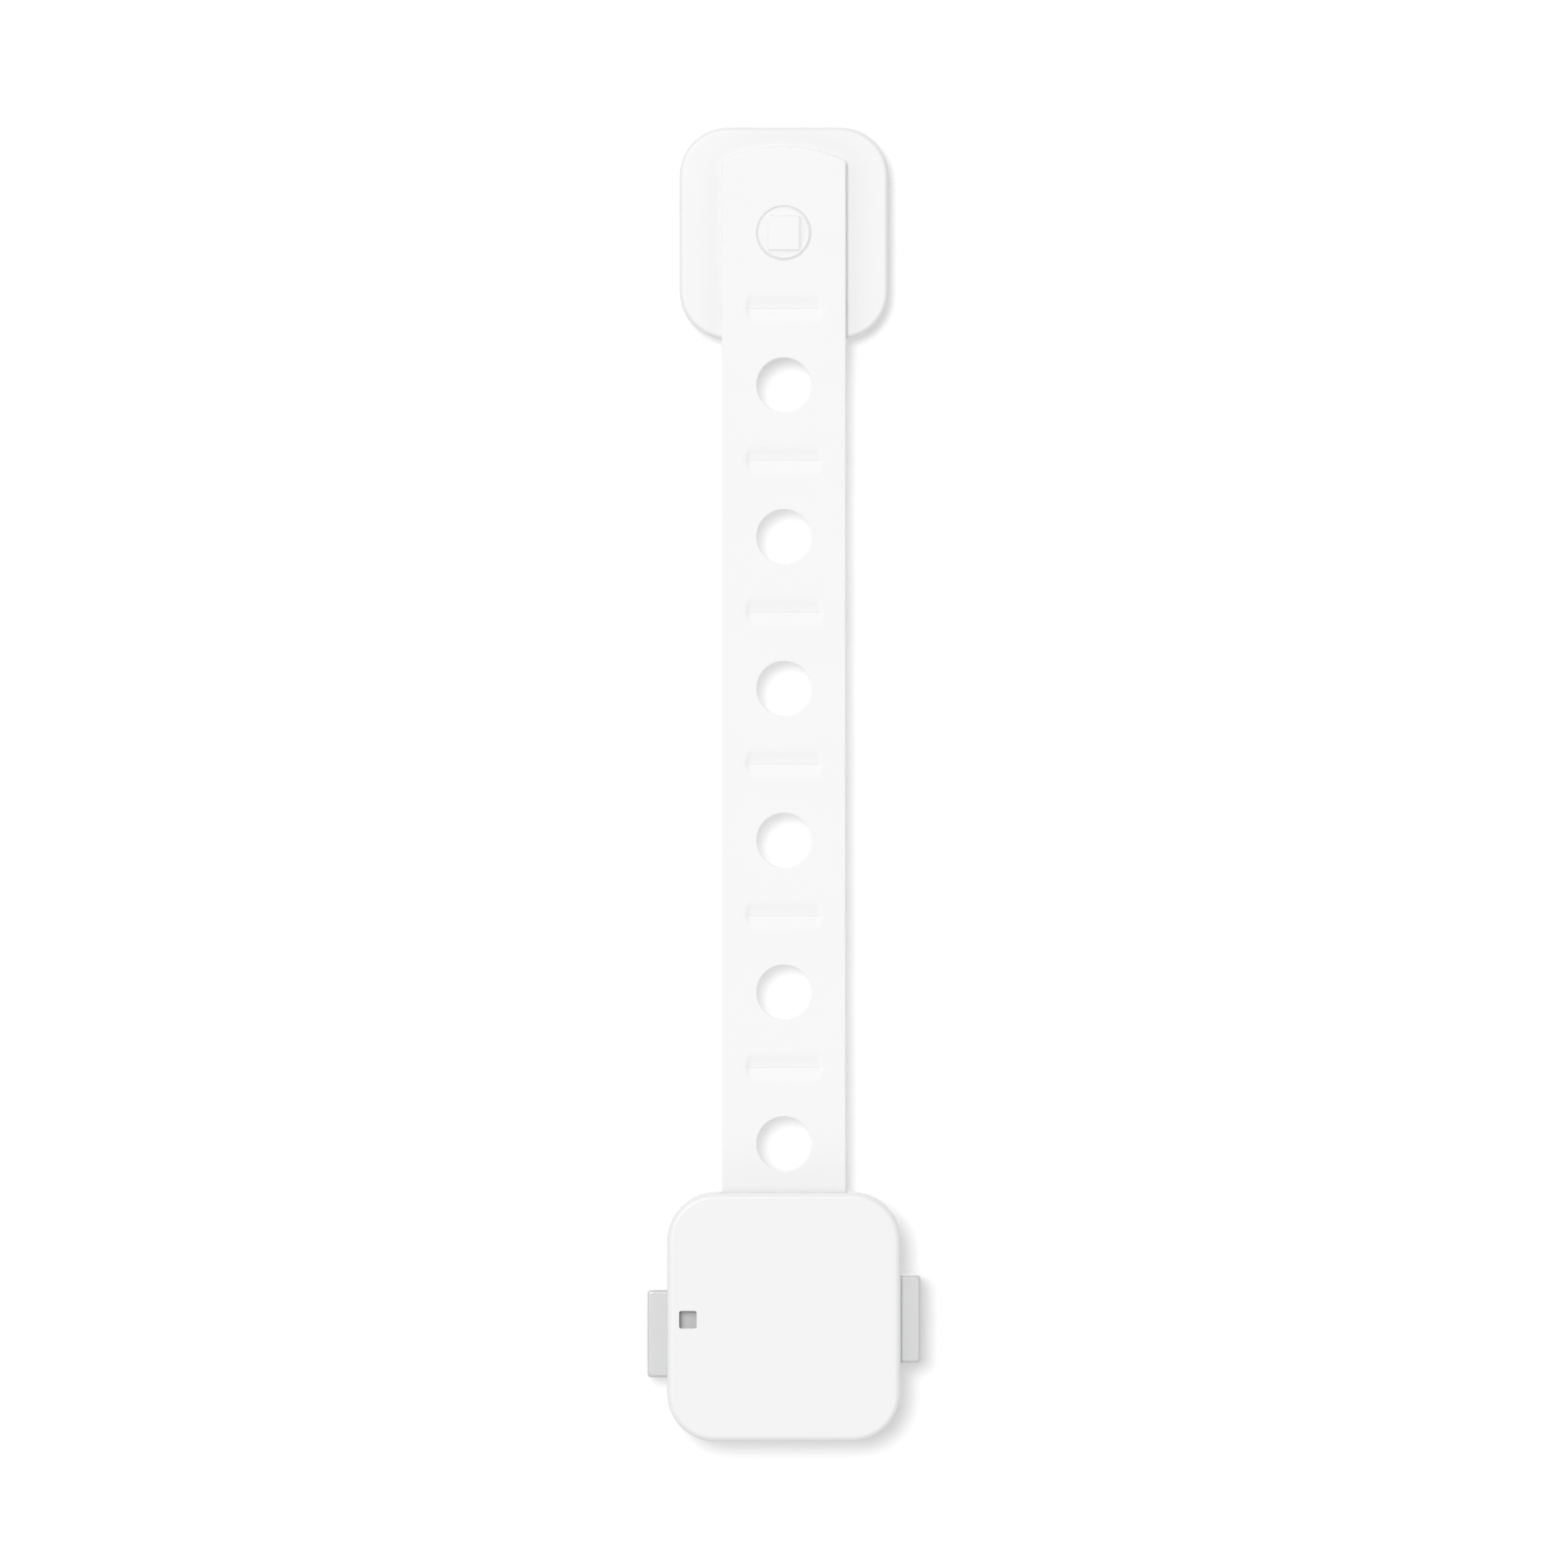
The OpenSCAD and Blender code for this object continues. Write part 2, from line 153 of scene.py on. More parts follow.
PAD_R, PAD_EDGE = 5.5, 0.14
PAD_WAIST = 0.05         # how far the foam's sides pull in
RECESS_PLAY = 0.4        # the plate's recess is wider than the pad by this
RECESS_CHAMFER = 0.12
PLATE_EDGE, PLATE_RIM = 0.7, 0.45
SEAT_DEPTH = 0.2         # shallow round seat for the peg's collar
SEAT_PLAY = 0.07
SOCKET_SIDE = 6          # the plate's square opening
FINGER_W, FINGER_X = 2.75, 0.26      # width of the springy finger in it, and its tip's place

HEAD_PLAY, COLLAR_PLAY = 0.27, 0.008     # room round the peg's head and collar in the hole
HEAD_EDGE = 0.13
COLLAR_DROP = 0.17       # how far the collar lies below the strap's top
COLLAR_CHAMFER = 0.02
SQUARE_W, SQUARE_L, SQUARE_R = 5.6, 6, 0.35
SQUARE_RISE = 0.15       # the raised square stands this far out of the peg's head
SHANK_SIDE, SHANK_X = 5.8, 0.2       # shank, and the bottom of the slot that clears the finger
SHANK_PLAY = 0.1


# ---------------------------------------------------------------- mesh helpers

def rounded_rect(w, l, r, centre=(0, 0), steps=14):
    """Points round a rectangle with round corners, anticlockwise."""
    points = []
    for quarter, (sx, sy) in enumerate([(1, 1), (-1, 1), (-1, -1), (1, -1)]):
        cx, cy = centre[0] + sx * (w / 2 - r), centre[1] + sy * (l / 2 - r)
        for i in range(steps + 1):
            a = math.pi / 2 * (quarter + i / steps)
            points.append((cx + r * math.cos(a), cy + r * math.sin(a)))
    return points


def plate_ring(bm, w, l, r, inset, z, centre=(0, 0)):
    """One ring of a plate's outline, moved inwards by inset."""
    outline = rounded_rect(w - 2 * inset, l - 2 * inset, max(r - inset, 0.05), centre)
    return [bm.verts.new((x, y, z)) for x, y in outline]


def bridge(bm, a, b):
    """Quads between two closed rings with as many points each."""
    n = len(a)
    for i in range(n):
        bm.faces.new((a[i], a[(i + 1) % n], b[(i + 1) % n], b[i]))


def loft(bm, rings):
    """Skin over a run of closed rings, with a flat cap at each end."""
    for a, b in zip(rings, rings[1:]):
        bridge(bm, a, b)
    bm.faces.new(list(reversed(rings[0])))
    bm.faces.new(rings[-1])


def fillet(radius):
    """(inset, height) pairs round a quarter turn, ending on the flat face."""
    pairs = []
    for i in range(ARC + 1):
        a = math.pi / 2 * i / ARC
        pairs.append((radius * (1 - math.cos(a)), radius * math.sin(a)))
    return pairs


def lathe(bm, profile, centre, steps=48):
    """Closed solid of revolution about an upright axis through centre, from (radius, z) pairs."""
    turn = [2 * math.pi * i / steps for i in range(steps)]
    loft(bm, [[bm.verts.new((centre[0] + r * math.cos(t), centre[1] + r * math.sin(t), z))
               for t in turn] for r, z in profile])


def to_object(name, bm, material):
    """A new object from a mesh in millimetres. Points that meet are welded."""
    bmesh.ops.remove_doubles(bm, verts=bm.verts, dist=WELD)
    bmesh.ops.recalc_face_normals(bm, faces=bm.faces)
    bmesh.ops.scale(bm, vec=(MM, MM, MM), verts=bm.verts)
    mesh = bpy.data.meshes.new(name)
    bm.to_mesh(mesh)
    bm.free()
    obj = bpy.data.objects.new(name, mesh)
    bpy.context.scene.collection.objects.link(obj)
    mesh.materials.append(material)
    return obj


def finish_shading(obj, angle=32):
    """Smooth faces, sharp edges above an angle, and normals weighted to the flat faces."""
    obj.data.shade_smooth()
    obj.data.set_sharp_from_angle(angle=math.radians(angle))
    weighted = obj.modifiers.new("flat faces stay flat", "WEIGHTED_NORMAL")
    weighted.keep_sharp = True
    weighted.weight = 80     # above 50, large faces count for more


def stand_for(obj, node, body):
    """The piece stands for a CAD node, whose own shape is hidden, and rides on a body."""
    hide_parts(node)
    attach(obj, body)


def cut(obj, cutters, operation="DIFFERENCE"):
    """Boolean of each cutter with obj, applied to obj's mesh. The cutters are removed."""
    for cutter in cutters:
        modifier = obj.modifiers.new("cut", "BOOLEAN")
        modifier.operation = operation
        modifier.object = cutter
        modifier.solver = "EXACT"
        apply_modifiers(obj)
        bpy.data.objects.remove(cutter)


def apply_modifiers(obj):
    bpy.context.view_layer.update()
    done = obj.evaluated_get(bpy.context.evaluated_depsgraph_get())
    mesh = bpy.data.meshes.new_from_object(done)
    obj.modifiers.clear()
    old = obj.data
    obj.data = mesh
    mesh.name = old.name
    bpy.data.meshes.remove(old)


def soften_edges(obj, width, angle=50, segments=3):
    """Small round on every edge sharper than angle."""
    bevel = obj.modifiers.new("soft edges", "BEVEL")
    bevel.width = width * MM
    bevel.segments = segments
    bevel.limit_method = "ANGLE"
    bevel.angle_limit = math.radians(angle)
    apply_modifiers(obj)


def prism(name, outline, low, high, axis="Z"):
    """Closed straight prism in millimetres. The outline lies in the plane across axis."""
    def place(p, h):
        return {"X": (h, p[0], p[1]), "Y": (p[0], h, p[1]), "Z": (p[0], p[1], h)}[axis]
    bm = bmesh.new()
    loft(bm, [[bm.verts.new(place(p, h)) for p in outline] for h in (low, high)])
    return to_object(name, bm, materials["shell"])


def cylinder(name, centre, r, low, high, axis="Z", steps=48):
    turn = [2 * math.pi * i / steps for i in range(steps)]
    outline = [(centre[0] + r * math.cos(a), centre[1] + r * math.sin(a)) for a in turn]
    return prism(name, outline, low, high, axis)


# ---------------------------------------------------------------- materials

class Nodes:
    """Short way to write a material's node tree."""

    def __init__(self, name):
        self.material = bpy.data.materials.new(name)
        self.material.use_nodes = True
        self.tree = self.material.node_tree
        self.shader = self.tree.nodes["Principled BSDF"]
        self.coords = self.add("ShaderNodeTexCoord").outputs["Object"]

    def add(self, kind, **settings):
        node = self.tree.nodes.new(kind)
        for key, value in settings.items():
            setattr(node, key, value)
        return node

    def link(self, source, target):
        self.tree.links.new(source, target)

    def noise(self, scale, detail, coords=None):
        node = self.add("ShaderNodeTexNoise")
        node.inputs["Scale"].default_value = scale
        node.inputs["Detail"].default_value = detail
        self.link(coords or self.coords, node.inputs["Vector"])
        return node.outputs["Fac"]

    def stretched(self, sx, sy, sz):
        node = self.add("ShaderNodeMapping")
        node.inputs["Scale"].default_value = (sx, sy, sz)
        self.link(self.coords, node.inputs["Vector"])
        return node.outputs["Vector"]

    def ramp(self, fac, low, high):
        """A factor from 0 to 1, mapped to low to high."""
        node = self.add("ShaderNodeMapRange")
        node.inputs["To Min"].default_value = low
        node.inputs["To Max"].default_value = high
        self.link(fac, node.inputs["Value"])
        return node.outputs["Result"]

    def colour(self, fac, dark, light):
        node = self.add("ShaderNodeMix", data_type="RGBA")
        node.inputs["A"].default_value = (*dark, 1)
        node.inputs["B"].default_value = (*light, 1)
        self.link(fac, node.inputs["Factor"])
        self.link(node.outputs["Result"], self.shader.inputs["Base Color"])

    def bump(self, height, distance, strength, previous=None):
        node = self.add("ShaderNodeBump")
        node.inputs["Strength"].default_value = strength
        node.inputs["Distance"].default_value = distance
        self.link(height, node.inputs["Height"])
        if previous:
            self.link(previous, node.inputs["Normal"])
        return node.outputs["Normal"]

    def set(self, **values):
        for key, value in values.items():
            self.shader.inputs[key.replace("_", " ")].default_value = value


def shell_plastic():
    """White moulded plastic: satin, with the fine grain of an etched mould."""
    m = Nodes("shell_plastic")
    m.colour(m.noise(90, 4), (0.742, 0.742, 0.742), (0.753, 0.753, 0.753))
    m.link(m.ramp(m.noise(240, 5), 0.42, 0.5), m.shader.inputs["Roughness"])
    grain = m.bump(m.noise(5200, 2), 0.000012, 0.35)
    waves = m.bump(m.noise(55, 2), 0.0002, 0.06, grain)
    m.link(waves, m.shader.inputs["Normal"])
    m.set(Specular_IOR_Level=0.36, Coat_Weight=0.5, Coat_Roughness=0.25)
    return m.material


def strap_plastic():
    """Soft flexible strap: matt, with faint flow lines along its length."""
    m = Nodes("strap_plastic")
    m.colour(m.noise(60, 4), (0.800, 0.800, 0.799), (0.814, 0.814, 0.813))
    m.link(m.ramp(m.noise(300, 4), 0.50, 0.62), m.shader.inputs["Roughness"])
    flow = m.noise(900, 3, coords=m.stretched(1, 0.06, 1))
    lines = m.bump(flow, 0.00001, 0.5)
    grain = m.bump(m.noise(4200, 2), 0.00001, 0.4, lines)
    m.link(grain, m.shader.inputs["Normal"])
    m.set(Specular_IOR_Level=0.28, Sheen_Weight=0.05, Sheen_Roughness=0.5)
    return m.material


def button_plastic():
    """Pale grey moulded plastic of the two finger pads."""
    m = Nodes("button_plastic")
    m.colour(m.noise(150, 4), (0.525, 0.528, 0.534), (0.542, 0.545, 0.551))
    m.link(m.ramp(m.noise(400, 4), 0.36, 0.48), m.shader.inputs["Roughness"])
    m.link(m.bump(m.noise(5200, 2), 0.000012, 0.45), m.shader.inputs["Normal"])
    m.set(Coat_Weight=0.9, Coat_Roughness=0.2, Coat_IOR=1.7)
    return m.material


def foam_tape():
    """Closed-cell foam tape: small cells, quite matt."""
    m = Nodes("foam_tape")
    m.colour(m.noise(700, 5), (0.69, 0.69, 0.693), (0.74, 0.74, 0.743))
    m.link(m.ramp(m.noise(900, 3), 0.72, 0.9), m.shader.inputs["Roughness"])
    cells = m.add("ShaderNodeTexVoronoi")
    cells.inputs["Scale"].default_value = 3600
    m.link(m.coords, cells.inputs["Vector"])
    coarse = m.bump(m.noise(420, 3), 0.00006, 0.4)
    m.link(m.bump(cells.outputs["Distance"], 0.00004, 0.6, coarse), m.shader.inputs["Normal"])
    return m.material


def acetal():
    """Natural white engineering plastic of the tongue and the catches."""
    m = Nodes("acetal")
    m.colour(m.noise(200, 4), (0.72, 0.72, 0.69), (0.77, 0.77, 0.745))
    m.link(m.ramp(m.noise(500, 4), 0.28, 0.4), m.shader.inputs["Roughness"])
    m.link(m.bump(m.noise(2600, 3), 0.00001, 0.4), m.shader.inputs["Normal"])
    m.set(Subsurface_Weight=0.08, Subsurface_Scale=0.001)
    return m.material


def steel():
    """Bright drawn steel of the springs and rivets."""
    m = Nodes("steel")
    m.colour(m.noise(900, 3), (0.50, 0.505, 0.515), (0.60, 0.605, 0.61))
    scratches = m.noise(2400, 4, coords=m.stretched(1, 0.15, 1))
    m.link(m.ramp(scratches, 0.22, 0.4), m.shader.inputs["Roughness"])
    m.link(m.bump(scratches, 0.000006, 0.5), m.shader.inputs["Normal"])
    m.set(Metallic=1.0)
    return m.material


materials = {
    "shell": shell_plastic(),
    "strap": strap_plastic(),
    "button": button_plastic(),
    "adhesive": foam_tape(),
    "catch": acetal(),
    "steel": steel(),
}


# ---------------------------------------------------------------- latch

def latch_cover():
    """Housing: a shell with rounded top edges, a mouth, two button openings and a window."""
    w, l = COVER_HIGH.x - COVER_LOW.x, COVER_HIGH.y - COVER_LOW.y
    low, high = COVER_LOW.z, COVER_HIGH.z
    bm = bmesh.new()
    rings = [plate_ring(bm, w, l, CORNER_R, WALL, low)]
    for inset, h in reversed(fillet(COVER_RIM)):
        rings.append(plate_ring(bm, w, l, CORNER_R, inset, low + COVER_RIM - h))
    for inset, h in fillet(COVER_EDGE):
        rings.append(plate_ring(bm, w, l, CORNER_R, inset, high - COVER_EDGE + h))
    ceiling = plate_ring(bm, w, l, CORNER_R, WALL, ROOF_Z)
    for a, b in zip(rings, rings[1:]):
        bridge(bm, a, b)
    bridge(bm, ceiling, rings[0])
    bm.faces.new(rings[-1])
    bm.faces.new(list(reversed(ceiling)))
    cover = to_object("latch_cover_shell", bm, materials["shell"])
    cutters = [latch_window(), latch_mouth(l)]
    for side in ("left", "right"):
        cutters.append(button_opening(side))
    cut(cover, cutters)
    cut(cover, cover_inside(), "UNION")
    cut(cover, post_sockets())
    soften_edges(cover, 0.14)
    finish_shading(cover)
    stand_for(cover, "latch_cover", "latch")


def cover_inside():
    """Four bosses and two ribs under the cover's top."""
    parts = []
    for sx in (-1, 1):
        for sy in (-1, 1):
            parts.append(cylinder("boss", (sx * POST_AT[0], sy * POST_AT[1]), BOSS_R,
                                  BASE_LOW.z + BASE_T + BOSS_GAP, ROOF_Z + SINK))
        x = sx * RIB_X
        rib = [(x - RIB_T / 2, RIB_FROM), (x + RIB_T / 2, RIB_FROM),
               (x + RIB_T / 2, RIB_TO), (x - RIB_T / 2, RIB_TO)]
        parts.append(prism("rib", rib, STRAP_HIGH.z + MOUTH_RISE, ROOF_Z + SINK))
    return parts


def post_sockets():
    """Cutters for the bores that take the base's posts."""
    centres = [(sx * POST_AT[0], sy * POST_AT[1]) for sx in (-1, 1) for sy in (-1, 1)]
    top = BASE_HIGH.z + BOSS_GAP
    return [cylinder("socket", centre, SOCKET_R, BASE_LOW.z, top) for centre in centres]


def latch_window():
    outline = rounded_rect(WINDOW_SIDE, WINDOW_SIDE, WINDOW_R, WINDOW_AT, steps=5)
    return prism("cut_window", outline, ROOF_Z - OVER, COVER_HIGH.z + OVER)


def latch_mouth(l):
    half_w = STRAP_HALF_W + MOUTH_PLAY
    low, high = BASE_LOW.z + BASE_T, STRAP_HIGH.z + MOUTH_RISE
    outline = rounded_rect(2 * half_w, high - low, MOUTH_R, (0, (low + high) / 2), steps=5)
    return prism("cut_mouth", outline, l / 2 - WALL - OVER, l / 2 + OVER, axis="Y")


def button_opening(side):
    low, high = box_mm(f"{side}_button")
    sign = -1 if side == "left" else 1
    y = (low.y + high.y) / 2
    half_l = (high.y - low.y) / 2 - FLANGE_LIP + OPENING_PLAY
    height = high.z - low.z + 2 * OPENING_RISE
    outline = rounded_rect(2 * half_l, height, OPENING_R, (y, (low.z + high.z) / 2), steps=5)
    ends = sorted((sign * (COVER_HIGH.x - WALL - OVER), sign * (COVER_HIGH.x + OVER)))
    return prism("cut_button", outline, *ends, axis="X")


def side_button(side):
    """Finger pad with soft edges, and the flange behind it with the return spring's pocket."""
    low, high = box_mm(f"{side}_button")
    spring_low, spring_high = box_mm(f"{side}_spring")
    sign = -1 if side == "left" else 1
    y = (low.y + high.y) / 2
    half_l = (high.y - low.y) / 2 - FLANGE_LIP
    outer = max(abs(low.x), abs(high.x))
    inner = min(abs(low.x), abs(high.x))
    wall_face = COVER_HIGH.x - WALL - FLANGE_GAP
    bm = bmesh.new()

    def ring(inset, z):
        """Pad outline seen from above, square inside the housing and rounded outside it."""
        r = BUTTON_R - inset * 0.4      # corners tighten a little towards the top and bottom
        x_in = wall_face - 0.05         # overlaps the flange, so the two join
        x_out, y_out = outer - inset, half_l - inset
        turn = [math.pi / 2 * i / 8 for i in range(9)]
        arc = [(x_out - r + r * math.cos(t), y_out - r + r * math.sin(t)) for t in turn]
        straight = [(x_out, (y_out - r) * i / 6) for i in range(-5, 6)]
        points = [(x_in, y_out), (x_in, -y_out)]
        points += [(px, -py) for px, py in reversed(arc)] + straight + arc
        return [bm.verts.new((sign * px, y + py, z)) for px, py in points]

    rings = []
    for inset, h in reversed(fillet(BUTTON_EDGE)):
        rings.append(ring(inset, low.z + BUTTON_EDGE - h))
    for inset, h in fillet(BUTTON_EDGE):
        rings.append(ring(inset, high.z - BUTTON_EDGE + h))
    loft(bm, rings)
    pad = to_object(f"{side}_button_pad", bm, materials["button"])
    flange_top = high.z - FLANGE_DROP
    outline = rounded_rect(2 * half_l + 2 * FLANGE_LIP, flange_top - low.z, FLANGE_R,
                           (y, (low.z + flange_top) / 2), steps=4)
    flange = prism("flange", outline, *sorted((sign * inner, sign * wall_face)), axis="X")
    cut(pad, [flange], "UNION")
    start = sign * (inner - POCKET_OPEN)
    pocket_r = (spring_high.z - spring_low.z) / 2 + SPRING_PLAY
    pocket = cylinder("pocket", (y, (spring_low.z + spring_high.z) / 2), pocket_r,
                      *sorted((start, sign * SPRING_END)), axis="X")
    catch_low, catch_high = box_mm(f"{side}_catch")
    root = max(abs(catch_low.x), abs(catch_high.x))
    arm = [(catch_low.y, catch_low.z), (catch_high.y, catch_low.z),
           (catch_high.y, catch_low.z + CATCH_T), (catch_low.y, catch_low.z + CATCH_T)]
    slot = prism("slot", arm, *sorted((start, sign * root)), axis="X")
    cut(pad, [pocket, slot])
    soften_edges(pad, 0.1)
    finish_shading(pad, 40)
    stand_for(pad, f"{side}_button", f"{side}_button")


def adhesive_pad(name, node, body, y):
    """Foam square with softly rounded edges."""
    low, high = box_mm(node)
    side = high.x - low.x
    bm = bmesh.new()

    def ring(inset, z):
        return plate_ring(bm, side, side, PAD_R, inset, z, (0, y))

    above_edge = low.z + PAD_EDGE
    rings = [ring(inset, above_edge - h) for inset, h in reversed(fillet(PAD_EDGE))]
    for share in (0.3, 0.5, 0.7):
        waist = PAD_WAIST * math.sin(math.pi * share)
        rings.append(ring(waist, above_edge + (high.z - low.z - PAD_EDGE) * share))
    rings.append(ring(0, high.z))
    loft(bm, rings)
    pad = to_object(name, bm, materials["adhesive"])
    finish_shading(pad)
    stand_for(pad, node, body)


# ---------------------------------------------------------------- anchor

def anchor_plate():
    """Rounded plate with a soft top edge, a recess below for the pad and the peg's socket."""
    w, l = PLATE_HIGH.x - PLATE_LOW.x, PLATE_HIGH.y - PLATE_LOW.y
    low, high = PLATE_LOW.z, PLATE_HIGH.z
    recess = (w - (PAD_HIGH.x - PAD_LOW.x + RECESS_PLAY)) / 2
    at = (0, ANCHOR_Y)
    bm = bmesh.new()

    def ring(inset, z):
        return plate_ring(bm, w, l, CORNER_R, inset, z, at)

    rings = [ring(recess, PAD_HIGH.z), ring(recess, low + RECESS_CHAMFER),
             ring(recess - RECESS_CHAMFER, low)]
    for inset, h in reversed(fillet(PLATE_RIM)):
        rings.append(ring(inset, low + PLATE_RIM - h))
    for inset, h in fillet(PLATE_EDGE):
        rings.append(ring(inset, high - PLATE_EDGE + h))
    loft(bm, rings)
    plate = to_object("anchor_plate_body", bm, materials["shell"])
    seat = cylinder("seat", at, HOLE_R + SEAT_PLAY, high - SEAT_DEPTH, high + OVER, steps=96)
    outline = notched_square(SOCKET_SIDE / 2, FINGER_X, FINGER_W / 2)
    opening = prism("socket", outline, low - OVER, high + OVER)
    cut(plate, [seat, opening])
    finish_shading(plate)
    stand_for(plate, "anchor_plate", "anchor")


def notched_square(half, notch_x, notch_half):
    """Outline of a square round the peg's axis, with a notch from its right side in to notch_x."""
    points = [(half, half), (-half, half), (-half, -half), (half, -half), (half, -notch_half),
              (notch_x, -notch_half), (notch_x, notch_half), (half, notch_half)]
    return [(x, y + ANCHOR_Y) for x, y in points]


def anchor_peg():
    """Turned peg: collar, head with a soft edge, and a raised square on the head."""
    head_r, collar_r = HOLE_R - HEAD_PLAY, HOLE_R - COLLAR_PLAY
    foot_z = PLATE_HIGH.z - SEAT_DEPTH
    collar_z = STRAP_HIGH.z - COLLAR_DROP
    head_z = PEG_HIGH.z - SQUARE_RISE
    profile = [(collar_r, foot_z), (collar_r, collar_z - COLLAR_CHAMFER),
               (collar_r - COLLAR_CHAMFER, collar_z), (head_r, collar_z)]
    profile += [(head_r - inset, head_z - HEAD_EDGE + h) for inset, h in fillet(HEAD_EDGE)]
    bm = bmesh.new()
    lathe(bm, profile, (0, ANCHOR_Y), steps=96)
    peg = to_object("anchor_peg_body", bm, materials["shell"])
    cut(peg, [raised_square(head_z), shank(foot_z)], "UNION")
    finish_shading(peg, 40)
    stand_for(peg, "anchor_peg", "anchor")


def raised_square(head_z):
    """Low square pad with sloped, softened sides."""
    top = PEG_HIGH.z
    # (inset, z) pairs from inside the head to the square's top
    slope = [(0, head_z - 0.3), (0, head_z), (0.14, top - 0.05), (0.24, top - 0.01), (0.34, top)]
    bm = bmesh.new()
    rings = []
    for inset, z in slope:
        outline = rounded_rect(SQUARE_W - 2 * inset, SQUARE_L - 2 * inset, SQUARE_R,
                               (0, ANCHOR_Y), steps=5)
        rings.append([bm.verts.new((x, y, z)) for x, y in outline])
    loft(bm, rings)
    return to_object("raised_square", bm, materials["shell"])


def shank(foot_z):
    """Square part of the peg inside the plate, slotted to clear the finger."""
    outline = notched_square(SHANK_SIDE / 2, SHANK_X, FINGER_W / 2 + SHANK_PLAY)
    return prism("shank", outline, PEG_LOW.z, foot_z + SINK)


# ---------------------------------------------------------------- strap

EDGE_R = 0.3             # round on the strap's long edges
HOLE_EDGE_R = 0.16       # round on the holes' edges
MARK_HALF_W = 6.15       # half width of the moulded cross marks
MARK_BEHIND = 2.6        # length of each mark's slope on the latch side
MARK_AHEAD = 3.1         # and on the anchor side
MARK_DEPTH = 0.3
MARK_BOW = 0.12          # how much the slopes bow, as a share of the depth
MARK_TAPER = 0.9
MARK_FADE = 0.9          # width of the slope at a mark's ends
CREASE_DEPTH, CREASE_HALF_L = 0.07, 0.22
GROOVE_DEPTH, GROOVE_HALF_L = 0.14, 0.4     # groove across the underside, below each mark
GROOVE_HALF_W, GROOVE_FADE = MARK_HALF_W + 0.15, 0.45
RELIEF_DEPTH = 0.2       # leaves room under the last bend, so the plate stays clear of it
RELIEF_HALF_L = 2.4
RIPPLE_HEIGHT, RIPPLE_PHASE = 0.045, 0.6
RIPPLE_FROM, RIPPLE_TO = BEND_Y[0] + 2, BEND_Y[-1] - 8
RIPPLE_FADE = 12
FAN_SPAN = 7.2           # half length of the mesh fan round each hole
FAN_RINGS = 6
FAN_SPREAD = 1.35        # above 1, the fan's rings are closer together at the hole
SIDE_STEP = 0.72         # mesh step along the strap's sides, beside a hole
COLUMN_STEP, END_COLUMN_STEP, OUTER_COLUMN_STEP = 0.6, 0.2, 0.7     # middle, marks' ends, outside
ROW_STEP, MARK_ROW_STEP, CREASE_ROW_STEP = 0.55, 0.27, 0.06
CREASE_ROWS = 0.3        # half length of the stretch with the finest rows
TIP_ARC_R, TIP_CORNER_R = 24, 0.9


def smooth(t):
    """Smooth step from 0 to 1."""
    t = min(max(t, 0.0), 1.0)
    return t * t * (3 - 2 * t)


def mark_depth(x, y):
    """How deep the moulded cross marks cut into the strap's top at a point.

    Each is a shallow valley with a fine crease along its bottom, narrower at its far ends.
    """
    u = y - min(BEND_Y[1:], key=lambda bend: abs(y - bend))
    reach = MARK_AHEAD if u > 0 else MARK_BEHIND
    share = abs(u) / reach
    if share >= 1:
        return 0.0
    half_w = MARK_HALF_W - MARK_TAPER * share ** 2
    across = smooth((half_w + MARK_FADE / 2 - abs(x)) / MARK_FADE)
    soft_end = 1 - share + MARK_BOW * math.sin(2 * math.pi * share)
    crease = smooth(1 - abs(u) / CREASE_HALF_L)
    return across * (MARK_DEPTH * soft_end + CREASE_DEPTH * crease)


def groove_depth(x, y):
    """The narrow groove across the strap's underside at each bend."""
    across = smooth((GROOVE_HALF_W - abs(x)) / GROOVE_FADE)
    nearest = min(abs(y - bend) for bend in BEND_Y[1:])
    return GROOVE_DEPTH * across * (1 - smooth(nearest / GROOVE_HALF_L))


def anchor_relief(y):
    """How much thinner the strap is below its middle where it bends over the anchor plate."""
    return RELIEF_DEPTH * (1 - smooth(abs(y - BEND_Y[-1]) / RELIEF_HALF_L))


def ripple(y):
    """Slight waviness of the soft strap between its ends."""
    window = smooth((y - RIPPLE_FROM) / RIPPLE_FADE) * smooth((RIPPLE_TO - y) / RIPPLE_FADE)
    turns = (y - BEND_Y[1]) / (HOLE_Y[1] - HOLE_Y[0])
    return RIPPLE_HEIGHT * window * math.sin(2 * math.pi * turns + RIPPLE_PHASE)


def shape_strap(bm):
    """Adds marks, grooves and ripple to a strap mesh whose middle plane is Z = 0."""
    flat = STRAP_HALF_T - 1e-4
    for v in bm.verts:
        x, y, z = v.co
        if z > flat:
            z -= mark_depth(x, y)
        elif z < -flat:
            z += groove_depth(x, y)
        if z < 0:
            z *= 1 - anchor_relief(y) / STRAP_HALF_T
        v.co.z = z + STRAP_MID_Z + ripple(y)


def spaced(start, end, step):
    """Even points from start to end, no further apart than step."""
    count = max(1, math.ceil(abs(end - start) / step - 1e-9))
    return [start + (end - start) * i / count for i in range(count + 1)]


def strap_columns():
    """X of the strap's mesh columns, closer together at the ends of the marks."""
    inner = STRAP_HALF_W - EDGE_R
    fine_from, fine_to = MARK_HALF_W - MARK_TAPER - MARK_FADE / 2, MARK_HALF_W + MARK_FADE / 2
    half = spaced(0, fine_from, COLUMN_STEP)
    half += spaced(fine_from, fine_to, END_COLUMN_STEP)[1:]
    half += spaced(fine_to, inner, OUTER_COLUMN_STEP)[1:]
    return [-x for x in reversed(half[1:])] + half


